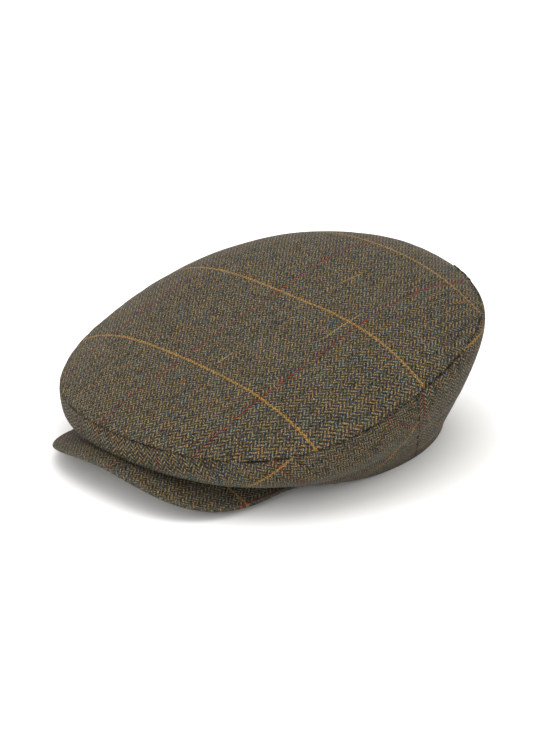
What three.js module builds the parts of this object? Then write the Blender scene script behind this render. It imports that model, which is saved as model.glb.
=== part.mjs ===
import * as THREE from 'three';

// A flat cap of tweed, in millimetres. It rests on the plane z = 0 with the middle of the
// whole cap over the origin. The peak points to -Y and the wearer's left is +X. Sizes are
// laid out from the middle of the crown, and angles are turned from the front to the left.

const DEGREE = Math.PI / 180;

// The head opening is an oval that lies a little behind the middle of the crown
const HEAD_WIDTH = 166.4;
const HEAD_LENGTH = 196;
const HEAD_SETBACK = 14;

// Over the peak the hem rises off the ground in a soft arch
const FRONT_LIFT = 20.6;
const LIFT_ANGLE = 87 * DEGREE;

// Tweed with its interlining, the turned-up hem, and the gap left where two edges are sewn
const CLOTH = 2;
const HEM_THICKNESS = 3;
const SEAM_GAP = 0.3;

// The crown swells above the seam round it, more at its rim than a plain dome does,
// and its fullness lies towards the back
const DOME_RISE = 18.8;
const DOME_FULLNESS = 0.91;
const DOME_LEAN = -11.3;

// The side seams start at the crown seam and run down and backwards to the hem
const SIDE_SEAM_TOP = 93 * DEGREE;
const SIDE_SEAM_SLANT = 11 * DEGREE;

// The peak: an arched crescent whose outline is a squarish oval about the temples
const PEAK_HALF_WIDTH = 72;
const PEAK_REACH = 80;
const PEAK_TEMPLES = -39.5;
const PEAK_SQUARENESS = 3.2;
const PEAK_ROOT_ANGLE = 58 * DEGREE;
const PEAK_THICKNESS = 4.3;
const PEAK_EDGE_THICKNESS = 2;
const PEAK_END_TAPER = 9;
const PEAK_CORNER_HEIGHT = 2.2;
const PEAK_END_HEIGHT = 3.6;
const PEAK_ARCH = 14.5;
const PEAK_ARCH_SPREAD = 1.25;

// Sections of the cap from the front (0) round to the back (180), alike on both sides.
// The seam between crown and side lies at seamRadius and seamHeight. Below it the side
// swells by swellOut over swellDrop, then tucks in to the hem, which it meets from
// tuckOut outside and tuckRise above.
const SECTIONS = [
  { angle: 0, seamRadius: 110, seamHeight: 33.9, swellOut: 4.1, swellDrop: 25.4, tuckOut: 18, tuckRise: 7 },
  { angle: 30, seamRadius: 112.1, seamHeight: 32.8, swellOut: 2.3, swellDrop: 24.9, tuckOut: 16.5, tuckRise: 4 },
  { angle: 60, seamRadius: 112, seamHeight: 37.4, swellOut: 2.4, swellDrop: 21.6, tuckOut: 11.5, tuckRise: 2.5 },
  { angle: 90, seamRadius: 109.1, seamHeight: 52.4, swellOut: 6.7, swellDrop: 16.4, tuckOut: 6.5, tuckRise: 6 },
  { angle: 120, seamRadius: 114.6, seamHeight: 67.4, swellOut: 9.5, swellDrop: 8.2, tuckOut: 4.5, tuckRise: 15 },
  { angle: 150, seamRadius: 119.2, seamHeight: 77.9, swellOut: 10.6, swellDrop: 4.6, tuckOut: 2, tuckRise: 26.5 },
  { angle: 180, seamRadius: 116.8, seamHeight: 83.3, swellOut: 8, swellDrop: 5.5, tuckOut: 1.5, tuckRise: 31 },
];

// A column of the sections as a smooth even curve: the cosine waves that pass through its rows
function wavesThrough(column) {
  const last = SECTIONS.length - 1;
  const share = (index) => (index === 0 || index === last ? 0.5 : 1);
  return SECTIONS.map((_, order) => {
    const sum = SECTIONS.reduce(
      (total, row, index) => total + share(index) * row[column] * Math.cos(order * row.angle * DEGREE),
      0
    );
    return (2 * share(order) * sum) / last;
  });
}

// The value of such a curve at an angle. Inwards from the seam each wave fades the faster
// the shorter it is, which carries the seam's heights smoothly across the crown.
function valueOf(waves, angle, reach = 1) {
  return waves.reduce((total, size, order) => total + size * reach ** order * Math.cos(order * angle), 0);
}

const SEAM_RADIUS = wavesThrough('seamRadius');
const SEAM_HEIGHT = wavesThrough('seamHeight');
const SWELL_OUT = wavesThrough('swellOut');
const SWELL_DROP = wavesThrough('swellDrop');
const TUCK_OUT = wavesThrough('tuckOut');
const TUCK_RISE = wavesThrough('tuckRise');

function outwards(angle) {
  return new THREE.Vector3(Math.sin(angle), -Math.cos(angle), 0);
}

function crownPoint(reach, angle) {
  const point = outwards(angle).multiplyScalar(reach * valueOf(SEAM_RADIUS, angle));
  const inside = 1 - reach ** 2;
  const dome = DOME_RISE * inside * (1 + DOME_FULLNESS * reach ** 2);
  const lean = DOME_LEAN * reach * Math.cos(angle) * inside;
  point.z = valueOf(SEAM_HEIGHT, angle, reach) + dome + lean;
  return point;
}

function hemPoint(angle) {
  const x = (HEAD_WIDTH / 2) * Math.sin(angle);
  const y = HEAD_SETBACK - (HEAD_LENGTH / 2) * Math.cos(angle);
  const arch = 0.5 + 0.5 * Math.cos((Math.PI * angle) / LIFT_ANGLE);
  const z = Math.abs(angle) < LIFT_ANGLE ? FRONT_LIFT * arch : 0;
  return new THREE.Vector3(x, y, z);
}

// The outside of the side from the crown seam down to the hem, as a curve in one section
function sideCurve(angle) {
  const out = outwards(angle);
  const top = crownPoint(1, angle);
  const swell = top.clone().addScaledVector(out, valueOf(SWELL_OUT, angle));
  swell.z -= valueOf(SWELL_DROP, angle);
  top.z -= SEAM_GAP;
  const hem = hemPoint(angle);
  const tuck = hem.clone().addScaledVector(out, valueOf(TUCK_OUT, angle));
  tuck.z += valueOf(TUCK_RISE, angle);
  return new THREE.CubicBezierCurve3(top, swell, tuck, hem);
}

// The inside of the side: square to the outside, but mitred under the crown along the top
// and level along the hem
function sideLining(curve, angle, down) {
  const point = curve.getPoint(down);
  const run = curve.getTangent(down);
  const out = outwards(angle);
  const slope = new THREE.Vector2(run.dot(out), run.z).normalize();
  const thickness = CLOTH + (HEM_THICKNESS - CLOTH) * down ** 6;
  if (down === 0) {
    slope.set(1, -1);
  } else if (down === 1) {
    slope.set(0, -1);
  }
  point.addScaledVector(out, thickness * slope.y);
  point.z -= thickness * slope.x;
  return point;
}

// A closed wall between two sheets. Each sheet is a function of across and along, from 0 to 1.
function wall(outside, inside, columns, rows) {
  const positions = [];
  const faces = [];
  for (const sheet of [outside, inside]) {
    for (let row = 0; row <= rows; row++) {
      for (let column = 0; column <= columns; column++) {
        positions.push(...sheet(column / columns, row / rows).toArray());
      }
    }
  }
  const sheetSize = (columns + 1) * (rows + 1);
  const outer = (column, row) => row * (columns + 1) + column;
  const inner = (column, row) => sheetSize + outer(column, row);
  const quad = (a, b, c, d) => faces.push(a, b, c, a, c, d);
  for (let row = 0; row < rows; row++) {
    for (let column = 0; column < columns; column++) {
      const next = column + 1;
      quad(outer(column, row), outer(column, row + 1), outer(next, row + 1), outer(next, row));
      quad(inner(column, row), inner(next, row), inner(next, row + 1), inner(column, row + 1));
    }
  }
  for (let column = 0; column < columns; column++) {
    const next = column + 1;
    quad(outer(column, 0), outer(next, 0), inner(next, 0), inner(column, 0));
    quad(outer(next, rows), outer(column, rows), inner(column, rows), inner(next, rows));
  }
  for (let row = 0; row < rows; row++) {
    const next = row + 1;
    quad(outer(0, row), inner(0, row), inner(0, next), outer(0, next));
    quad(outer(columns, row), outer(columns, next), inner(columns, next), inner(columns, row));
  }
  const geometry = new THREE.BufferGeometry();
  geometry.setAttribute('position', new THREE.Float32BufferAttribute(positions, 3));
  geometry.setIndex(faces);
  geometry.computeVertexNormals();
  return geometry;
}

// Crown: one round panel of cloth, drawn as a square net bent to a disc so it has no pole
function crownGeometry() {
  const onDisc = (across, along, size = 1) => {
    const x = 2 * across - 1;
    const y = 1 - 2 * along;
    const discX = x * Math.sqrt(1 - (y * y) / 2);
    const discY = y * Math.sqrt(1 - (x * x) / 2);
    const reach = size * Math.min(1, Math.hypot(discX, discY));
    return crownPoint(reach, Math.atan2(discX, -discY));
  };
  const below = (across, along) => {
    const point = onDisc(across, along, 1 - CLOTH / SEAM_RADIUS[0]);
    point.z -= CLOTH;
    return point;
  };
  return wall(onDisc, below, 24, 24);
}

// Side: a band in two panels, drawn between the slanting side seams
function sideAngle(across, down, isFront) {
  const halfGap = SEAM_GAP / HEAD_WIDTH;
  const seam = SIDE_SEAM_TOP + SIDE_SEAM_SLANT * down ** 2;
  if (isFront) {
    return (2 * across - 1) * (seam - halfGap);
  }
  const start = seam + halfGap;
  const angle = start + across * 2 * (Math.PI - start);
  return angle > Math.PI ? angle - 2 * Math.PI : angle;
}

function sideGeometry(isFront, columns, rows) {
  const outside = (across, down) => {
    const angle = sideAngle(across, down, isFront);
    return sideCurve(angle).getPoint(down);
  };
  const inside = (across, down) => {
    const angle = sideAngle(across, down, isFront);
    return sideLining(sideCurve(angle), angle, down);
  };
  return wall(outside, inside, columns, rows);
}

// Peak: straight from its root under the hem to its edge
function peakEdge(turn) {
  const sine = Math.abs(Math.sin(turn)) / PEAK_HALF_WIDTH;
  const cosine = Math.abs(Math.cos(turn)) / PEAK_REACH;
  const radius = (sine ** PEAK_SQUARENESS + cosine ** PEAK_SQUARENESS) ** (-1 / PEAK_SQUARENESS);
  const point = outwards(turn).multiplyScalar(radius);
  const inside = Math.max(0, 1 - (point.x / PEAK_HALF_WIDTH) ** 2);
  const low = PEAK_CORNER_HEIGHT + (PEAK_END_HEIGHT - PEAK_CORNER_HEIGHT) * (turn / (90 * DEGREE)) ** 4;
  point.y += PEAK_TEMPLES;
  point.z = low + PEAK_ARCH * inside ** PEAK_ARCH_SPREAD;
  return point;
}

function peakRoot(angle) {
  const point = hemPoint(angle).addScaledVector(outwards(angle), -HEM_THICKNESS);
  point.z -= SEAM_GAP;
  return point;
}

// A level of the peak's thickness, from 0 underneath to 1 on top
function peakPoint(across, forward, level) {
  const side = 2 * across - 1;
  const thinning = Math.max(side ** 4, forward ** 2);
  const thickness = PEAK_THICKNESS + (PEAK_EDGE_THICKNESS - PEAK_THICKNESS) * thinning;
  const root = peakRoot(side * PEAK_ROOT_ANGLE);
  const end = root.clone().addScaledVector(outwards(side * PEAK_ROOT_ANGLE), HEM_THICKNESS);
  const ending = Math.abs(side) ** PEAK_END_TAPER;
  const edge = peakEdge(side * 90 * DEGREE).lerp(end, ending);
  edge.z += PEAK_EDGE_THICKNESS * (1 - ending);
  const point = root.lerp(edge, forward);
  point.z += (level - 1) * thickness;
  return point;
}

// The two covers of the peak, kept apart by half the gap on each side of the middle level
const PEAK_SEAM = SEAM_GAP / PEAK_EDGE_THICKNESS / 2;

function peakCover(bottom, top) {
  const above = (across, along) => peakPoint(across, along, top);
  const below = (across, along) => peakPoint(across, along, bottom);
  return wall(above, below, 32, 6);
}

function tweed(color) {
  return new THREE.MeshStandardMaterial({ color, roughness: 0.95, metalness: 0 });
}

function addPiece(name, geometry, color) {
  const piece = new THREE.Mesh(geometry, tweed(color));
  piece.name = name;
  cap.add(piece);
}

const cap = new THREE.Group();
addPiece('crown_top', crownGeometry(), '#605748');
addPiece('side_front', sideGeometry(true, 48, 12), '#5a5142');
addPiece('side_back', sideGeometry(false, 36, 12), '#5a5344');
addPiece('peak_top', peakCover(0.5 + PEAK_SEAM, 1), '#4a4235');
addPiece('peak_under', peakCover(0, 0.5 - PEAK_SEAM), '#4a4235');

// The middle of the crown lies a little in front of the middle of the whole cap
const extent = new THREE.Box3().setFromObject(cap);
cap.position.y = -(extent.min.y + extent.max.y) / 2;

export default cap;
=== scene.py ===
import math
from collections import namedtuple

import bmesh
import bpy
from mathutils import Matrix, Vector, noise


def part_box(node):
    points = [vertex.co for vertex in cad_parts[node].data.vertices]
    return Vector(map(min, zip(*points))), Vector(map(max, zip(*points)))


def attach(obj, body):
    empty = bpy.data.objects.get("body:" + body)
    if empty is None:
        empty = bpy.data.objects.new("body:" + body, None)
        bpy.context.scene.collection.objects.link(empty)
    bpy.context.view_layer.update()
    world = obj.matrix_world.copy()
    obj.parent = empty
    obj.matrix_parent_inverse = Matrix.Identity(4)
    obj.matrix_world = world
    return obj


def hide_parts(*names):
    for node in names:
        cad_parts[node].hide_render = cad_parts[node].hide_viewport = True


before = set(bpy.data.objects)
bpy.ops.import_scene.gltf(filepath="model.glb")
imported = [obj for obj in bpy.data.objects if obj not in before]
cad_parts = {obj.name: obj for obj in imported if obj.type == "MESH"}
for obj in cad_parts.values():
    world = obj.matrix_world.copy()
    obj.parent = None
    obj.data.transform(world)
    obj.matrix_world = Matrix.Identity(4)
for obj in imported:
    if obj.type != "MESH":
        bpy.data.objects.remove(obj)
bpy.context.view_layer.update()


# Crown
# One round panel of herringbone tweed, cut with its ends running from front to back. Its cut
# edge turns down into the seam that joins it to the side, and it swells gently above the seam.

MM = 0.001

# The seam round the crown, every 30 degrees from the front, in millimetres: how far out and
# how high it runs, how far out and down the side sets off from it, and how far out and up
# the side sets off from the hem
Section = namedtuple(
    "Section", "angle seam_radius seam_height swell_out swell_drop tuck_out tuck_rise"
)
SECTIONS = [
    Section(0, 110, 33.9, 4.1, 25.4, 18, 7),
    Section(30, 112.1, 32.8, 2.3, 24.9, 16.5, 4),
    Section(60, 112, 37.4, 2.4, 21.6, 11.5, 2.5),
    Section(90, 109.1, 52.4, 6.7, 16.4, 6.5, 6),
    Section(120, 114.6, 67.4, 9.5, 8.2, 4.5, 15),
    Section(150, 119.2, 77.9, 10.6, 4.6, 2, 26.5),
    Section(180, 116.8, 83.3, 8, 5.5, 1.5, 31),
]
DOME_RISE = 18.8
DOME_FULLNESS = 0.91
DOME_LEAN = -11.3

# A seam's two edges overlap by a hair, so that no light comes through it
CLOTH = 0.8
SEAM_ROLL = 0.8
SEAM_OVERLAP = 0.05

MIDDLE_TO_CROWN = SECTIONS[0].seam_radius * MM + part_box("crown_top")[0].y


def waves_through(column):
    """The cosine waves whose sum passes through one column of the sections."""
    last = len(SECTIONS) - 1
    waves = []
    for order in range(last + 1):
        total = 0
        for index, section in enumerate(SECTIONS):
            share = 0.5 if index in (0, last) else 1
            wave = math.cos(order * math.radians(section.angle))
            total += share * getattr(section, column) * wave
        share = 0.5 if order in (0, last) else 1
        waves.append(2 * share * total / last)
    return waves


def value_of(waves, angle, reach=1):
    return sum(
        size * reach**order * math.cos(order * angle) for order, size in enumerate(waves)
    )


SEAM_RADIUS = waves_through("seam_radius")
SEAM_HEIGHT = waves_through("seam_height")
SWELL_OUT = waves_through("swell_out")
SWELL_DROP = waves_through("swell_drop")

UP = Vector((0, 0, 1))


def outwards(angle):
    return Vector((math.sin(angle), -math.cos(angle), 0))


def crown_point(reach, angle):
    point = outwards(angle) * reach * value_of(SEAM_RADIUS, angle)
    inside = 1 - reach**2
    dome = DOME_RISE * inside * (1 + DOME_FULLNESS * reach**2)
    lean = DOME_LEAN * reach * math.cos(angle) * inside
    point.z = value_of(SEAM_HEIGHT, angle, reach) + dome + lean
    return point


# Pressed woollen cloth is never quite true: it waves a little, and puckers beside its seams
WAVE_LENGTH = 38
WAVE_HEIGHT = 0.55
PUCKER_LENGTH = 8
PUCKER_HEIGHT = 0.3
PUCKER_REACH = 7

# Stitches pull a seam in and shade it unevenly: the usual amount of each and its change
STITCH_LENGTH = 3.2
USUAL_PULL = 0.85
PULL_CHANGE = 0.5
USUAL_SHADE = 0.6
SHADE_CHANGE = 1.3
SEAM_SHADE_REACH = 0.7


def unevenness(point, from_seam):
    height = WAVE_HEIGHT * noise.noise(point / WAVE_LENGTH)
    pucker = PUCKER_HEIGHT * noise.noise(point / PUCKER_LENGTH)
    return height + pucker * math.exp(-from_seam / PUCKER_REACH)


def seam_tuck(point, from_seam):
    """How deep the cloth has rolled into a seam at a distance from it, more at each stitch."""
    flat = min(1, from_seam / SEAM_ROLL)
    pull = USUAL_PULL + PULL_CHANGE * noise.noise(point / STITCH_LENGTH)
    return pull * SEAM_ROLL * (1 - math.sqrt(1 - (1 - flat) ** 2))


def shade_in_seam(point, from_seam):
    """How much shade a seam lays on the cloth at a distance from it, more at each stitch."""
    stitch = max(0, USUAL_SHADE + SHADE_CHANGE * noise.noise(point / STITCH_LENGTH))
    return stitch * math.exp(-((from_seam / SEAM_SHADE_REACH) ** 2))


# Where a point of the sheet lies, where it was on the flat cloth, how far it is from a seam
# and which way that seam turns in, how free the cloth is to wave there, and how much painted
# sheen lies on it, a grey that stands in for the light caught where folds and edges turn away
Spot = namedtuple("Spot", "point cloth from_seam into_seam slack nap")


def lay_cloth(columns, rows, spot_at, outside):
    """A sheet of cloth from a net, in millimetres. spot_at(column, row) is the spot of each
    knot of the net, and outside(point) is any direction that leaves the cap at a point."""
    sheet = bmesh.new()
    bmesh.ops.create_grid(sheet, x_segments=columns, y_segments=rows, size=1)
    cloth_place = sheet.verts.layers.float_vector.new("cloth place")
    # A layer for the painted sheen: grey laid on where folds and edges turn away
    painted_sheen_attribute = sheet.verts.layers.float.new("painted sheen")
    seam_shade = sheet.verts.layers.float.new("seam shade")
    spots = {}
    for vert in sheet.verts:
        column = round((vert.co.x + 1) / 2 * columns)
        row = round((1 - vert.co.y) / 2 * rows)
        spot = spot_at(column, row)
        spots[vert] = spot
        vert.co = spot.point
        vert[cloth_place] = (*spot.cloth, 0)
        vert[painted_sheen_attribute] = spot.nap
        vert[seam_shade] = shade_in_seam(spot.point, spot.from_seam)
    sheet.normal_update()
    faces_out = sum(face.normal.dot(outside(face.calc_center_median())) for face in sheet.faces)
    if faces_out < 0:
        bmesh.ops.reverse_faces(sheet, faces=sheet.faces)
        sheet.normal_update()
    for vert, spot in spots.items():
        beside_seam = math.exp(-spot.from_seam / PUCKER_REACH)
        off_cloth = vert.normal.lerp(-spot.into_seam, beside_seam)
        vert.co += off_cloth * unevenness(spot.point, spot.from_seam) * spot.slack
        vert.co += spot.into_seam * seam_tuck(spot.point, spot.from_seam)
    bmesh.ops.solidify(sheet, geom=sheet.faces[:], thickness=CLOTH)
    bmesh.ops.recalc_face_normals(sheet, faces=sheet.faces)
    return sheet


def finish_cloth(sheet, name, *nodes):
    """Turns a sheet into a piece of the cap, with the flat cloth's millimetres as its UV map."""
    cloth_place = sheet.verts.layers.float_vector["cloth place"]
    uv_map = sheet.loops.layers.uv.new("flat cloth")
    for face in sheet.faces:
        face.smooth = True
        for loop in face.loops:
            loop[uv_map].uv = loop.vert[cloth_place].xy * MM
    bmesh.ops.scale(sheet, vec=(MM, MM, MM), verts=sheet.verts)
    bmesh.ops.translate(sheet, vec=(0, MIDDLE_TO_CROWN, 0), verts=sheet.verts)
    mesh = bpy.data.meshes.new(name)
    sheet.to_mesh(mesh)
    sheet.free()
    piece = bpy.data.objects.new(name, mesh)
    bpy.context.scene.collection.objects.link(piece)
    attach(piece, "root")
    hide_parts(*nodes)
    return piece


def side_drop(angle):
    """The way that the top of the side runs down from the seam."""
    return outwards(angle) * value_of(SWELL_OUT, angle) - UP * value_of(SWELL_DROP, angle)


def into_crown_seam(angle):
    """Both edges of the seam turn in along the line that halves the corner between them."""
    just_inside = 0.98
    from_crown = (crown_point(1, angle) - crown_point(just_inside, angle)).normalized()
    return (side_drop(angle).normalized() - from_crown).normalized()


# The cloth's count: threads to the repeat of the herringbone and of the windowpane. Red and
# yellow threads are counted from 0, and the crown was cut a few repeats up the length.
THREAD = 0.66 * MM
HERRINGBONE_ENDS = 4
RED_EVERY = 96
YELLOW_EVERY = 104
CROWN_FIRST_PICK = 4 * YELLOW_EVERY

# The net of the crown is a square bent to a disc, so that it has no pole. Its last rows
# lie on the roll of the seam.
CROWN_NET = 144
CROWN_ROLL_SHARE = 0.06
CROWN_TURN = math.radians(-2.17)
CROWN_RED_AT = -8.35
CROWN_YELLOW_AT = 17.5


def crown_spot(column, row):
    x = 2 * column / CROWN_NET - 1
    y = 1 - 2 * row / CROWN_NET
    disc = Vector((x * math.sqrt(1 - y * y / 2), y * math.sqrt(1 - x * x / 2)))
    share = min(1, disc.length)
    angle = math.atan2(disc.x, -disc.y)
    radius = value_of(SEAM_RADIUS, angle)
    roll_start = 1 - CROWN_ROLL_SHARE
    if share < roll_start:
        from_seam = radius - share / roll_start * (radius - SEAM_ROLL)
    else:
        roll = (share - roll_start) / CROWN_ROLL_SHARE
        from_seam = SEAM_ROLL * (1 - math.sin(roll * math.pi / 2))
    overlap = SEAM_OVERLAP * (1 - from_seam / radius)
    point = crown_point(1 - (from_seam - overlap) / radius, angle)
    cut = Matrix.Rotation(-CROWN_TURN, 2) @ point.xy
    first_pick = CROWN_FIRST_PICK * THREAD / MM
    cloth = (cut.x - CROWN_RED_AT, cut.y - CROWN_YELLOW_AT + first_pick)
    return Spot(point, cloth, from_seam, into_crown_seam(angle), 1, 0)


crown_sheet = lay_cloth(CROWN_NET, CROWN_NET, crown_spot, lambda point: UP)
crown = finish_cloth(crown_sheet, "crown_panel", "crown_top")


def linear(hex_colour):
    """An sRGB hex colour as the linear colour that a shader takes."""
    channels = [int(hex_colour[i : i + 2], 16) / 255 for i in (1, 3, 5)]
    return [c / 12.92 if c <= 0.04045 else ((c + 0.055) / 1.055) ** 2.4 for c in channels] + [1]


def add(tree, kind, inputs=(), **settings):
    """Adds a shader node. Its inputs are a list in the node's own order, or a dictionary by
    name or number. Each is a value, or a node or socket whose output it takes."""
    node = tree.nodes.new("ShaderNode" + kind)
    for name, value in settings.items():
        setattr(node, name, value)
    if not isinstance(inputs, dict):
        inputs = dict(enumerate(inputs))
    for key, value in inputs.items():
        if isinstance(value, bpy.types.Node):
            value = next(socket for socket in value.outputs if socket.enabled)
        if isinstance(value, bpy.types.NodeSocket):
            tree.links.new(value, node.inputs[key])
        else:
            node.inputs[key].default_value = value
    return node


# Herringbone tweed: a carded woollen 2/2 twill, 15 ends and 15 picks to the centimetre, that
# turns back every 4 ends. The ends are spun of ochre and tan wool and the picks of navy and
# slate, so the eye sees small light and dark lines, and from afar a mossy brown. A thick end
# in 96 is crimson and two picks in 104 are a full ochre, which makes a faint windowpane.
OCHRE_WOOL = [
    (0.0, "#1b1a19"),
    (0.25, "#423e2f"),
    (0.42, "#6b5b39"),
    (0.6, "#8e6c3c"),
    (0.75, "#6b6e5c"),
    (0.88, "#526161"),
    (1.0, "#8a4d33"),
]
SLATE_WOOL = [
    (0.0, "#04050a"),
    (0.3, "#0b0d18"),
    (0.5, "#14161a"),
    (0.68, "#18293e"),
    (0.84, "#2c3b37"),
    (1.0, "#3f535b"),
]
RED_YARN = "#8c1f2a"
YELLOW_YARN = "#9c7230"
SLUB_YARN = "#9a7b48"
HAZE = "#393b34"
# The grey of the painted sheen where folds and edges turn away
PAINTED_SHEEN_GREY = "#5c5c52"
SHEEN = "#a9acaa"

# Counted in threads: how far they stray, how uneven their floats are and how wide the red
# end is
DRIFT = 2.2
LOOSENESS = 1.8
RED_WIDTH = 1.5

# How much of a float's shade is its own and how much its yarn's, how fast a yarn's shade
# changes, and how much of the yellow picks shows through the ends that cross over them
OWN_SHADE = 0.62
YARN_SHADE = 0.42
YARN_CHANGES = 0.07
YELLOW_THROUGH = 0.8

# How light the gaps and the threads are, the share of a thread's height that is fully lit,
# and how dark the bottoms of the seams are
GAP_LIGHT = 0.34
THREAD_LIGHT = 1.14
LIT_HEIGHT = 0.8
SEAM_DARKNESS = 0.85

# How high a thread stands, and the loose fibre on it as a share of that. The painted sheen
# lies in tufts along the ends.
THREAD_RELIEF = 0.18 * MM
FIBRE_RELIEF = 0.6
TUFT_STRETCH = (0.9, 0.25, 1)
LEAST_TUFT = 0.1

# Clouds of noise over the cloth: how many to a thread, how detailed and how rough
CLOUDS = [
    ("drift", 0.36, 3, 0.7),
    ("looseness", 0.8, 2, 0.7),
    ("yarn thickness", 0.45, 2, 0.6),
    ("haze", 0.09, 4, 0.65),
    ("fibre", 1.3, 3, 0.75),
    ("lumps", 0.5, 3, 0.8),
]

# How strongly some of them show, from their thin places to their thick ones
STRENGTHS = [
    ("yarn thickness", 0.4, 0.6, 0.45, 1),
    ("haze", 0.35, 0.65, 0, 0.16),
    ("fibre", 0.3, 0.7, 0.62, 1.38),
    ("lumps", 0.3, 0.7, 0.78, 1.22),
]

# Slubs, the thick places in the yarn of the crown: end, first pick, last pick, and how far
# it strays sideways
SLUBS = [(33, -96, -77, 0.9), (86.6, -29, 18, 3.6), (41.8, 33, 56, 5.2)]
SLUB_HALF_WIDTH = 0.65
SLUB_TAPER = 4
SLUB_COVER = 0.85


def herringbone_tweed():
    material = bpy.data.materials.new("herringbone tweed")
    material.use_nodes = True
    tree = material.node_tree
    tree.nodes.clear()

    flat_cloth = add(tree, "UVMap", uv_map="flat cloth")
    per_thread = (1 / THREAD, 1 / THREAD, 1)
    threads = add(tree, "Mapping", {"Vector": flat_cloth, "Scale": per_thread})
    cloud = {}
    for what, scale, detail, roughness in CLOUDS:
        inputs = {"Vector": threads, "Scale": scale, "Detail": detail, "Roughness": roughness}
        cloud[what] = add(tree, "TexNoise", inputs, noise_dimensions="2D")
    strength = {}
    for what, thin, thick, least, most in STRENGTHS:
        inputs = {"From Min": thin, "From Max": thick, "To Min": least, "To Max": most}
        shown = add(tree, "MapRange", {"Value": cloud[what], **inputs})
        strength[what] = shown.outputs["Result"]

    # Hand and loom leave the threads out of line, by up to one thread over a few of them
    drift_cloud, middle = cloud["drift"].outputs["Color"], (0.5, 0.5, 0.5)
    either_way = add(tree, "VectorMath", [drift_cloud, middle], operation="SUBTRACT")
    drift = add(tree, "VectorMath", {0: either_way, "Scale": DRIFT}, operation="SCALE")
    laid = add(tree, "VectorMath", [threads, drift], operation="ADD")
    place = add(tree, "SeparateXYZ", [laid])
    end = add(tree, "Math", [place.outputs["X"]], operation="FLOOR")
    pick = add(tree, "Math", [place.outputs["Y"]], operation="FLOOR")

    # Which of the two threads lies on top. Where the twill turns back it is cut: it also
    # skips half a repeat, so that light floats meet dark ones.
    middle_of_end = add(tree, "Math", [end, 0.5], operation="ADD")
    step = add(tree, "Math", [middle_of_end, HERRINGBONE_ENDS], operation="PINGPONG")
    columns = add(tree, "Math", [end, HERRINGBONE_ENDS], operation="DIVIDE")
    column = add(tree, "Math", [columns], operation="FLOOR")
    odd_column = add(tree, "Math", [column, 2], operation="FLOORED_MODULO")
    cut = add(tree, "Math", [odd_column, 2], operation="MULTIPLY")
    steps = add(tree, "Math", [pick, step], operation="SUBTRACT")
    lag = add(tree, "Math", [steps, cut], operation="SUBTRACT")
    middle_of_lag = add(tree, "Math", [lag, 0.5], operation="ADD")
    phase = add(tree, "Math", [middle_of_lag, 4], operation="FLOORED_MODULO")
    unevenly = add(tree, "Math", [cloud["looseness"], 0.5], operation="SUBTRACT")
    longer = add(tree, "Math", [unevenly, LOOSENESS], operation="MULTIPLY")
    loose_phase = add(tree, "Math", [phase, longer], operation="ADD")
    end_on_top = add(tree, "Math", [loose_phase, 2], operation="LESS_THAN")

    # Woollen yarn is blended from dyed fleece, so each float has its own shade and each
    # yarn changes slowly along its length
    repeats = add(tree, "Math", [lag, 0.25], operation="MULTIPLY")
    float_number = add(tree, "Math", [repeats], operation="FLOOR")
    float_of_end = add(tree, "CombineXYZ", {"X": end, "Y": float_number})
    float_of_pick = add(tree, "CombineXYZ", {"X": float_number, "Y": pick})
    wools = []
    for float_place, along, colours in (
        (float_of_end, (1, YARN_CHANGES, 1), OCHRE_WOOL),
        (float_of_pick, (YARN_CHANGES, 1, 1), SLATE_WOOL),
    ):
        own = add(tree, "TexWhiteNoise", {"Vector": float_place}, noise_dimensions="2D")
        own = add(tree, "Math", [own.outputs["Value"], OWN_SHADE], operation="MULTIPLY")
        along_yarn = add(tree, "Mapping", {"Vector": laid, "Scale": along})
        inputs = {"Vector": along_yarn, "Scale": 1, "Detail": 1, "Roughness": 0.5}
        slow = add(tree, "TexNoise", inputs, noise_dimensions="2D")
        slow = add(tree, "Math", [slow, YARN_SHADE], operation="MULTIPLY")
        blend = add(tree, "Math", [own, slow], operation="ADD")
        ramp = add(tree, "ValToRGB", {"Fac": blend})
        stops = ramp.color_ramp.elements
        while len(stops) < len(colours):
            stops.new(0.5)
        for stop, (position, colour) in zip(stops, colours):
            stop.position = position
            stop.color = linear(colour)
        wools.append(ramp)
    ochre_wool, slate_wool = wools

    # The windowpane threads. The crimson yarn is thin in places, and the ochre one is thick
    # enough to show a little even where the ends cross over it.
    in_red = add(tree, "Math", [place.outputs["X"], RED_EVERY], operation="FLOORED_MODULO")
    on_red = add(tree, "Math", [in_red, RED_WIDTH], operation="LESS_THAN")
    red_end = add(tree, "Math", [on_red, strength["yarn thickness"]], operation="MULTIPLY")
    next_pick = add(tree, "Math", [pick, 1], operation="ADD")
    in_yellow = add(tree, "Math", [next_pick, YELLOW_EVERY], operation="FLOORED_MODULO")
    yellow_pick = add(tree, "Math", [in_yellow, 2], operation="LESS_THAN")
    showing = [cloud["yarn thickness"], YELLOW_THROUGH]
    through = add(tree, "Math", showing, operation="MULTIPLY")
    over_ends = add(tree, "Math", [yellow_pick, through], operation="MULTIPLY")
    red, yellow = linear(RED_YARN), linear(YELLOW_YARN)
    inputs = {"Factor": red_end, 6: ochre_wool, 7: red}
    ends = add(tree, "Mix", inputs, data_type="RGBA").outputs[2]
    inputs = {"Factor": yellow_pick, 6: slate_wool, 7: yellow}
    picks = add(tree, "Mix", inputs, data_type="RGBA").outputs[2]
    inputs = {"Factor": end_on_top, 6: picks, 7: ends}
    woven = add(tree, "Mix", inputs, data_type="RGBA").outputs[2]
    inputs = {"Factor": over_ends, 6: woven, 7: yellow}
    woven = add(tree, "Mix", inputs, data_type="RGBA").outputs[2]

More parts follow.
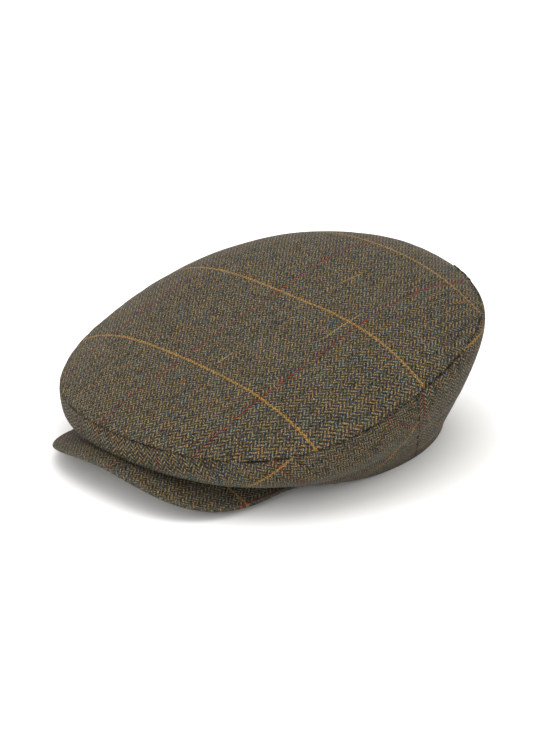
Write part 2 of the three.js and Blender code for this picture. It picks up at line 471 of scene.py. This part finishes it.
    # The slubs lie over the weave
    straight = add(tree, "SeparateXYZ", [threads])
    for slub_end, first, last, stray in SLUBS:
        first_pick = [straight.outputs["Y"], CROWN_FIRST_PICK + first]
        from_first = add(tree, "Math", first_pick, operation="SUBTRACT")
        along = add(tree, "Math", [from_first, last - first], operation="DIVIDE")
        strayed = add(tree, "Math", [along, stray], operation="MULTIPLY")
        line = add(tree, "Math", [strayed, slub_end - stray / 2], operation="ADD")
        to_line = add(tree, "Math", [straight.outputs["X"], line], operation="SUBTRACT")
        off_line = add(tree, "Math", [to_line], operation="ABSOLUTE")
        to_middle = add(tree, "Math", [along, 0.5], operation="SUBTRACT")
        off_middle = add(tree, "Math", [to_middle], operation="ABSOLUTE")
        from_tip = add(tree, "Math", [0.5, off_middle], operation="SUBTRACT")
        tapered = add(tree, "Math", [from_tip, SLUB_TAPER], operation="MULTIPLY")
        half_width = add(tree, "Math", [tapered, SLUB_HALF_WIDTH], operation="MINIMUM")
        on_slub = add(tree, "Math", [off_line, half_width], operation="LESS_THAN")
        cover = add(tree, "Math", [on_slub, SLUB_COVER], operation="MULTIPLY")
        inputs = {"Factor": cover, 6: woven, 7: linear(SLUB_YARN)}
        woven = add(tree, "Mix", inputs, data_type="RGBA").outputs[2]

    # Milling leaves a thin haze of fibre over the weave, thicker in some places than others.
    # Where a fold or an edge turns away, a painted sheen of grey hides the weave.
    inputs = {"Factor": strength["haze"], 6: woven, 7: linear(HAZE)}
    hazy = add(tree, "Mix", inputs, data_type="RGBA").outputs[2]
    # Painted sheen: grey mixed in where the cloth turns away from view
    painted_sheen_attribute = add(tree, "Attribute", attribute_name="painted sheen")
    tuft_place = add(tree, "Mapping", {"Vector": threads, "Scale": TUFT_STRETCH})
    inputs = {"Vector": tuft_place, "Scale": 1, "Detail": 3, "Roughness": 0.7}
    tufts = add(tree, "TexNoise", inputs, noise_dimensions="2D")
    tufts = add(tree, "Math", [tufts, LEAST_TUFT], operation="ADD")
    tufts = add(tree, "Math", [painted_sheen_attribute.outputs["Fac"], tufts], operation="MULTIPLY")
    inputs = {"Factor": tufts, 6: hazy, 7: linear(PAINTED_SHEEN_GREY)}
    hazy = add(tree, "Mix", inputs, data_type="RGBA").outputs[2]

    # Each thread is round, and dips where the other crosses over it
    half_phase = add(tree, "Math", [phase, 0.5], operation="MULTIPLY")
    rounds = []
    for across in (half_phase, place.outputs["X"], place.outputs["Y"]):
        fraction = add(tree, "Math", [across], operation="FRACT")
        doubled = add(tree, "Math", [fraction, 2], operation="MULTIPLY")
        centred = add(tree, "Math", [doubled, 1], operation="SUBTRACT")
        squared = add(tree, "Math", [centred, centred], operation="MULTIPLY")
        left = add(tree, "Math", [1, squared], operation="SUBTRACT")
        left = add(tree, "Math", [left, 0], operation="MAXIMUM")
        rounds.append(add(tree, "Math", [left], operation="SQRT"))
    crossing, round_end, round_pick = rounds
    pick_height = add(tree, "Math", [round_pick, crossing], operation="MULTIPLY")
    end_height = add(tree, "Math", [round_end, crossing], operation="MULTIPLY")
    inputs = {"Factor": end_on_top, 2: pick_height, 3: end_height}
    height = add(tree, "Mix", inputs, data_type="FLOAT").outputs[0]
    hairs = add(tree, "Math", [cloud["fibre"], FIBRE_RELIEF], operation="MULTIPLY")
    hairy_height = add(tree, "Math", [height, hairs], operation="ADD")
    inputs = {"Height": hairy_height, "Distance": THREAD_RELIEF, "Strength": 0.6}
    relief = add(tree, "Bump", inputs)

    # The gaps between threads and the bottoms of seams lie in shade, and single fibres
    # catch the light
    inputs = {"From Max": LIT_HEIGHT, "To Min": GAP_LIGHT, "To Max": THREAD_LIGHT}
    shade = add(tree, "MapRange", {"Value": height, **inputs}).outputs["Result"]
    seam_shade = add(tree, "Attribute", attribute_name="seam shade").outputs["Fac"]
    seam_shade = add(tree, "Math", [seam_shade, SEAM_DARKNESS], operation="MULTIPLY")
    in_light = add(tree, "Math", [1, seam_shade], operation="SUBTRACT")
    in_light = add(tree, "Math", [in_light, 0], operation="MAXIMUM")
    on_threads = add(tree, "Math", [shade, strength["fibre"]], operation="MULTIPLY")
    on_cloth = add(tree, "Math", [strength["lumps"], in_light], operation="MULTIPLY")
    light = add(tree, "Math", [on_threads, on_cloth], operation="MULTIPLY")
    shaded = add(tree, "VectorMath", {0: hazy, "Scale": light}, operation="SCALE")
    inputs = {
        "Base Color": shaded,
        "Roughness": 0.92,
        "IOR": 1.45,
        "Specular IOR Level": 0.2,
        "Sheen Weight": 0.12,
        "Sheen Roughness": 0.3,
        "Sheen Tint": linear(SHEEN),
        "Normal": relief,
    }
    wool = add(tree, "BsdfPrincipled", inputs)
    add(tree, "OutputMaterial", {"Surface": wool})
    return material


tweed = herringbone_tweed()
crown.data.materials.append(tweed)


# Side
# A band in two panels of the same tweed, sewn to the crown along its top and to each other at
# the sides. It bellies out over the peak, tucks in to the hem, and is turned up inside there.

HEAD_WIDTH = 166.4
HEAD_LENGTH = 196
HEAD_SETBACK = 14
FRONT_LIFT = 20.6
LIFT_ANGLE = math.radians(87)
HEM_ROLL = 1.35
HEM_HOLD = 16
TURN_UP = 12
SIDE_SEAM_TOP = math.radians(93)
SIDE_SEAM_SLANT = math.radians(11)

TUCK_OUT = waves_through("tuck_out")
TUCK_RISE = waves_through("tuck_rise")


def hem_point(angle):
    x = HEAD_WIDTH / 2 * math.sin(angle)
    y = HEAD_SETBACK - HEAD_LENGTH / 2 * math.cos(angle)
    arch = 0.5 + 0.5 * math.cos(math.pi * angle / LIFT_ANGLE)
    return Vector((x, y, FRONT_LIFT * arch if abs(angle) < LIFT_ANGLE else 0))


def side_curve(angle):
    """The four handles of the side's section, and the direction out of the hem's fold."""
    out = outwards(angle)
    seam = crown_point(1, angle)
    swell = seam + side_drop(angle)
    seam.z += SEAM_OVERLAP
    inwards = -(out * value_of(TUCK_OUT, angle) + UP * value_of(TUCK_RISE, angle)).normalized()
    off = out * -inwards.z + UP * inwards.dot(out)
    hem = hem_point(angle) + (UP - out) * HEM_ROLL + off * HEM_ROLL
    tuck = hem + out * value_of(TUCK_OUT, angle) + UP * value_of(TUCK_RISE, angle)
    return (seam, swell, tuck, hem), inwards, off


def on_curve(handles, along):
    rest = 1 - along
    weights = (rest**3, 3 * rest**2 * along, 3 * rest * along**2, along**3)
    return sum((handle * weight for handle, weight in zip(handles, weights)), Vector((0, 0, 0)))


# The rows of the side from the seam down: the roll at the seam, the wall, the fold of the
# hem, and the turned-up cloth inside
SEAM_ROWS = 5
WALL_ROWS = 56
HEM_ROWS = 8
TURN_UP_ROWS = 4
SIDE_ROWS = SEAM_ROWS + WALL_ROWS + HEM_ROWS + TURN_UP_ROWS

# The wall bellies, so it is about this much longer than the straight way down
WALL_OVER_STRAIGHT = 1.1


def side_column(angle_at):
    """The points of one column of the side. angle_at(down) gives its angle at each depth."""
    points = []
    top_handles = side_curve(angle_at(0))[0]
    length = (top_handles[3] - top_handles[0]).length * WALL_OVER_STRAIGHT
    for row in range(SEAM_ROWS + WALL_ROWS + 1):
        if row < SEAM_ROWS:
            down = SEAM_ROLL * (1 - math.cos(row / SEAM_ROWS * math.pi / 2)) / length
        else:
            first = SEAM_ROLL / length
            down = first + (1 - first) * (row - SEAM_ROWS) / WALL_ROWS
        points.append(on_curve(side_curve(angle_at(down))[0], down))
    angle = angle_at(1)
    handles, inwards, off = side_curve(angle)
    middle = handles[3] - off * HEM_ROLL
    upright = math.pi - math.atan2(-inwards.dot(outwards(angle)), -inwards.z)
    for row in range(1, HEM_ROWS + 1):
        turn = upright * row / HEM_ROWS
        points.append(middle + (off * math.cos(turn) + inwards * math.sin(turn)) * HEM_ROLL)
    fold = points[-1]
    for row in range(1, TURN_UP_ROWS + 1):
        points.append(fold + UP * TURN_UP * row / TURN_UP_ROWS)
    return points


def depths_of(points):
    depths = [0.0]
    for above, below in zip(points, points[1:]):
        depths.append(depths[-1] + (below - above).length)
    return depths


# The front panel was cut as a bow, so its ends lean outwards more and more towards the sides
FRONT_COLUMNS = 300
FRONT_DEPTH = 60
SEAM_ARC = 111
LEAN_LIMIT = 0.88
LEAN_LENGTH = 112
FRONT_RED_AT = -34.1
FRONT_YELLOW_AT = 37.9
FRONT_STRETCH = 0.9845
SIDE_ROLL_COLUMNS = 4


def edge_crowded(column, columns, width):
    """A share of the width for a column, with the first and last few crowded on the seam rolls."""
    roll = SEAM_ROLL / width
    last = columns - column
    if column < SIDE_ROLL_COLUMNS:
        return roll * (1 - math.cos(column / SIDE_ROLL_COLUMNS * math.pi / 2))
    if last < SIDE_ROLL_COLUMNS:
        return 1 - roll * (1 - math.cos(last / SIDE_ROLL_COLUMNS * math.pi / 2))
    middle = (column - SIDE_ROLL_COLUMNS) / (columns - 2 * SIDE_ROLL_COLUMNS)
    return roll + (1 - 2 * roll) * middle


def side_seam(down):
    return SIDE_SEAM_TOP + SIDE_SEAM_SLANT * down**2


# Where the side turns under, a painted sheen of grey lies along the fold: its angle and height
FOLD = [(0, 21.5), (30, 19.5), (55, 15.5), (65, 18), (85, 28), (110, 33), (125, 36)]
FOLD_WIDTH = 3
FOLD_RIDGE = 0.5
FOLD_WANDER = 1.5
FOLD_WANDER_LENGTH = 17
GROOVE_UNDER_FOLD = 4.5
GROOVE_WIDTH = 2
FOLD_SHEEN = 0.8
FOLD_PATCH = 6
FOLD_START = 22
FOLD_END = 105
FOLD_FADE = 18


def fold_at(point, angle):
    """How much of the fold's painted sheen lies at a point, and how far it stands out there."""
    degrees = abs(math.degrees(angle))
    height = FOLD[-1][1]
    for (start, low), (stop, high) in zip(FOLD, FOLD[1:]):
        if start <= degrees < stop:
            height = low + (high - low) * (degrees - start) / (stop - start)
    wandering = FOLD_WANDER * noise.noise(point / FOLD_WANDER_LENGTH)
    above = point.z - height + wandering
    nap = math.exp(-((above / FOLD_WIDTH) ** 2))
    groove = math.exp(-(((above + GROOVE_UNDER_FOLD) / GROOVE_WIDTH) ** 2))
    outside = max(FOLD_START - degrees, degrees - FOLD_END)
    fade = min(1, max(0, 1 - outside / FOLD_FADE))
    # The painted sheen comes and goes in patches along the fold
    patchy_sheen = FOLD_SHEEN * (1 + noise.noise(point / FOLD_PATCH))
    return nap * fade * patchy_sheen, (nap - groove) * FOLD_RIDGE * fade


def side_spots(points, depths, angle, from_side, cloth_at):
    """The spots of one column. Near the crown the cloth turns in with the crown's seam, beside
    a side seam straight in, and towards the hem it is held flat by the turned-up cloth."""
    hem_depth = depths[SEAM_ROWS + WALL_ROWS]
    spots = []
    for point, depth in zip(points, depths):
        into_seam = into_crown_seam(angle) if depth < from_side else -outwards(angle)
        slack = min(1, max(0, (hem_depth - depth) / HEM_HOLD))
        nap, out = fold_at(point, angle)
        point = point + outwards(angle) * out
        cloth = cloth_at(point, depth)
        spots.append(Spot(point, cloth, min(depth, from_side), into_seam, slack, nap))
    return spots


def away_from_head(point):
    return Vector((point.x, point.y, 0))


SIDE_OVERLAP = SEAM_OVERLAP / HEAD_WIDTH


def front_net():
    net = []
    for column in range(FRONT_COLUMNS + 1):
        share = 2 * edge_crowded(column, FRONT_COLUMNS, 2 * SIDE_SEAM_TOP * SEAM_ARC) - 1
        points = side_column(lambda down: share * (side_seam(down) + SIDE_OVERLAP))

        def cloth_at(point, depth):
            arc = SEAM_ARC * share * side_seam(min(1, depth / FRONT_DEPTH))
            lean = LEAN_LIMIT * math.tanh(arc / LEAN_LENGTH)
            bow = LEAN_LIMIT * LEAN_LENGTH * math.log(math.cosh(arc / LEAN_LENGTH))
            across = (arc - depth * math.tan(lean) - FRONT_RED_AT) * FRONT_STRETCH
            return across, bow + depth * math.cos(lean) - FRONT_YELLOW_AT

        from_side = (1 - abs(share)) * SIDE_SEAM_TOP * SEAM_ARC
        angle = share * SIDE_SEAM_TOP
        net.append(side_spots(points, depths_of(points), angle, from_side, cloth_at))
    return net


front_spots = front_net()
front_sheet = lay_cloth(
    FRONT_COLUMNS, SIDE_ROWS, lambda column, row: front_spots[column][row], away_from_head
)
front_band = finish_cloth(front_sheet, "front_band", "side_front")
front_band.data.materials.append(tweed)

# The back panel was cut with its ends upright
BACK_COLUMNS = 280
BACK_DEPTH = 80
BACK_ARC = 100
BACK_RED_ANGLE = math.radians(95.1)
BACK_YELLOW_HEIGHT = 66.5


def back_net():
    net = []
    width = 2 * (math.pi - SIDE_SEAM_TOP) * SEAM_ARC
    for column in range(BACK_COLUMNS + 1):
        share = edge_crowded(column, BACK_COLUMNS, width)

        def angle_at(down):
            start = side_seam(down) - SIDE_OVERLAP
            return start + share * 2 * (math.pi - start)

        points = side_column(angle_at)
        top = points[0].z

        def cloth_at(point, depth):
            across = BACK_ARC * (angle_at(min(1, depth / BACK_DEPTH)) - BACK_RED_ANGLE)
            return across, BACK_YELLOW_HEIGHT - (top - depth)

        from_side = min(share, 1 - share) * width
        angle = (angle_at(0) + math.pi) % (2 * math.pi) - math.pi
        net.append(side_spots(points, depths_of(points), angle, from_side, cloth_at))
    return net


back_spots = back_net()
back_sheet = lay_cloth(
    BACK_COLUMNS, SIDE_ROWS, lambda column, row: back_spots[column][row], away_from_head
)
back_band = finish_cloth(back_sheet, "back_band", "side_back")
back_band.data.materials.append(tweed)


# Peak
# A stiff arched crescent between two covers of the tweed, sewn together round its edge and
# caught under the hem. Each cover rolls over the edge to the seam at half its thickness.

PEAK_HALF_WIDTH = 72
PEAK_REACH = 80
PEAK_TEMPLES = -39.5
PEAK_SQUARENESS = 3.2
PEAK_ROOT_ANGLE = math.radians(58)
PEAK_THICKNESS = 4.3
PEAK_EDGE_THICKNESS = 2
PEAK_END_TAPER = 9
PEAK_CORNER_HEIGHT = 2.2
PEAK_END_HEIGHT = 3.6
PEAK_ARCH = 14.5
PEAK_ARCH_SPREAD = 1.25
HEM_THICKNESS = 3
UNDER_HEM = 0.3
PEAK_RED_AT = 4.6
PEAK_YELLOW_AT = -77.5
PEAK_COLUMNS = 200
PEAK_ROWS = 38
PEAK_ROLL_ROWS = 5
PEAK_ROOT_ROWS = 3
PEAK_SEAM_OVERLAP = 0.02
# The painted sheen of grey along the peak's edge, where each cover rolls away: how much and how
# wide
PEAK_EDGE_SHEEN = 0.6
PEAK_EDGE_SHEEN_WIDTH = 1.2
FAR_FROM_SEAM = 1000


def peak_edge(turn):
    sine = abs(math.sin(turn)) / PEAK_HALF_WIDTH
    cosine = abs(math.cos(turn)) / PEAK_REACH
    radius = (sine**PEAK_SQUARENESS + cosine**PEAK_SQUARENESS) ** (-1 / PEAK_SQUARENESS)
    point = outwards(turn) * radius
    inside = max(0, 1 - (point.x / PEAK_HALF_WIDTH) ** 2)
    low = PEAK_CORNER_HEIGHT + (PEAK_END_HEIGHT - PEAK_CORNER_HEIGHT) * (turn / (math.pi / 2)) ** 4
    point.y += PEAK_TEMPLES
    point.z = low + PEAK_ARCH * inside**PEAK_ARCH_SPREAD
    return point


def peak_point(across, forward, level):
    side = 2 * across - 1
    thinning = max(side**4, forward**2)
    thickness = PEAK_THICKNESS + (PEAK_EDGE_THICKNESS - PEAK_THICKNESS) * thinning
    angle = side * PEAK_ROOT_ANGLE
    end = hem_point(angle) - UP * UNDER_HEM
    root = end - outwards(angle) * HEM_THICKNESS
    ending = abs(side) ** PEAK_END_TAPER
    edge = peak_edge(side * math.pi / 2).lerp(end, ending)
    edge.z += PEAK_EDGE_THICKNESS * (1 - ending)
    point = root.lerp(edge, forward)
    point.z += (level - 1) * thickness
    return point


def peak_spot(column, row, level):
    across = column / PEAK_COLUMNS
    middle_level = 0.5
    length = (peak_point(across, 1, 1) - peak_point(across, 0, 1)).length
    roll = PEAK_EDGE_THICKNESS / 2
    flat = max(0, 1 - roll / length)
    flat_rows = PEAK_ROWS - PEAK_ROOT_ROWS - PEAK_ROLL_ROWS
    step = row - PEAK_ROOT_ROWS
    if step < 0:
        root_level = middle_level + (level - middle_level) * row / PEAK_ROOT_ROWS
        point = peak_point(across, 0, root_level)
        cloth_forward = 0
    elif step <= flat_rows:
        point = peak_point(across, flat * step / flat_rows, level)
        cloth_forward = 0
    else:
        turn = (step - flat_rows) / PEAK_ROLL_ROWS * math.pi / 2
        point = peak_point(across, flat + (1 - flat) * math.sin(turn), level)
        cloth_forward = roll * (1 - math.cos(turn))
        point.z += (cloth_forward + PEAK_SEAM_OVERLAP * turn) * (-1 if level == 1 else 1)
    cloth = (point.x - PEAK_RED_AT, point.y - cloth_forward - PEAK_YELLOW_AT)
    # Painted sheen along the edge, where the cover rolls away
    edge_sheen = math.exp(-(((peak_point(across, 1, level) - point).length / PEAK_EDGE_SHEEN_WIDTH) ** 2))
    return Spot(point, cloth, FAR_FROM_SEAM, UP, 1, edge_sheen * PEAK_EDGE_SHEEN)


PEAK_COVERS = [("peak_top_cover", 1, "peak_top"), ("peak_under_cover", 0, "peak_under")]
for name, level, node in PEAK_COVERS:
    cover = lay_cloth(
        PEAK_COLUMNS,
        PEAK_ROWS,
        lambda column, row: peak_spot(column, row, level),
        lambda point: UP if level == 1 else -UP,
    )
    piece = finish_cloth(cover, name, node)
    piece.data.materials.append(tweed)


# Setting
# A pale paper floor in an even white room, with a large soft light above the cap and a weak
# one in front of it.

floor_material = bpy.data.materials.new("matt white paper")
floor_material.use_nodes = True
floor_paper = floor_material.node_tree.nodes["Principled BSDF"]
floor_paper.inputs["Base Color"].default_value = linear("#f4f3f1")
floor_paper.inputs["Roughness"].default_value = 0.9

floor_mesh = bmesh.new()
bmesh.ops.create_grid(floor_mesh, x_segments=1, y_segments=1, size=8)
floor_data = bpy.data.meshes.new("floor")
floor_mesh.to_mesh(floor_data)
floor_mesh.free()
floor = bpy.data.objects.new("floor", floor_data)
floor.data.materials.append(floor_material)
bpy.context.scene.collection.objects.link(floor)

world = bpy.data.worlds.new("studio")
world.use_nodes = True
world.node_tree.nodes["Background"].inputs["Color"].default_value = linear("#ffffff")
world.node_tree.nodes["Background"].inputs["Strength"].default_value = 1.2
bpy.context.scene.world = world


CAP_MIDDLE_HEIGHT = 0.05


def soft_light(name, place, size, watts):
    """A round softbox that faces the middle of the cap."""
    data = bpy.data.lights.new(name, "AREA")
    data.shape = "DISK"
    data.size = size
    data.energy = watts
    light = bpy.data.objects.new(name, data)
    light.location = place
    to_cap = Vector((0, 0, CAP_MIDDLE_HEIGHT)) - Vector(place)
    light.rotation_euler = to_cap.to_track_quat("-Z", "Y").to_euler()
    bpy.context.scene.collection.objects.link(light)


soft_light("overhead softbox", (-0.2, 0.1, 1.5), 1.6, 12)
soft_light("front softbox", (0.55, -1.2, 0.35), 0.9, 6)

# The camera stands at the front left, a little above the cap
CAMERA_AZIMUTH = math.radians(46.62)
CAMERA_ELEVATION = math.radians(21.85)
CAMERA_DISTANCE = 1.4
FOCAL_PIXELS = 2545
FRAME_HEIGHT_PIXELS = 754
LEFT_OF_MIDDLE_PIXELS = 2.2
ABOVE_MIDDLE_PIXELS = 26.9

camera_data = bpy.data.cameras.new("camera")
camera_data.sensor_fit = "VERTICAL"
camera_data.sensor_height = 24
camera_data.lens = FOCAL_PIXELS / FRAME_HEIGHT_PIXELS * camera_data.sensor_height
camera_data.shift_x = LEFT_OF_MIDDLE_PIXELS / FRAME_HEIGHT_PIXELS
camera_data.shift_y = -ABOVE_MIDDLE_PIXELS / FRAME_HEIGHT_PIXELS
camera = bpy.data.objects.new("camera", camera_data)
back_of_view = Vector(
    (
        math.sin(CAMERA_AZIMUTH) * math.cos(CAMERA_ELEVATION),
        -math.cos(CAMERA_AZIMUTH) * math.cos(CAMERA_ELEVATION),
        math.sin(CAMERA_ELEVATION),
    )
)
cap_middle = Vector((0, MIDDLE_TO_CROWN, CAP_MIDDLE_HEIGHT))
camera.location = cap_middle + back_of_view * CAMERA_DISTANCE
camera.rotation_euler = back_of_view.to_track_quat("Z", "Y").to_euler()
bpy.context.scene.collection.objects.link(camera)
bpy.context.scene.camera = camera

bpy.context.scene.view_settings.view_transform = "Standard"
bpy.context.scene.view_settings.look = "None"
bpy.context.scene.view_settings.exposure = 0
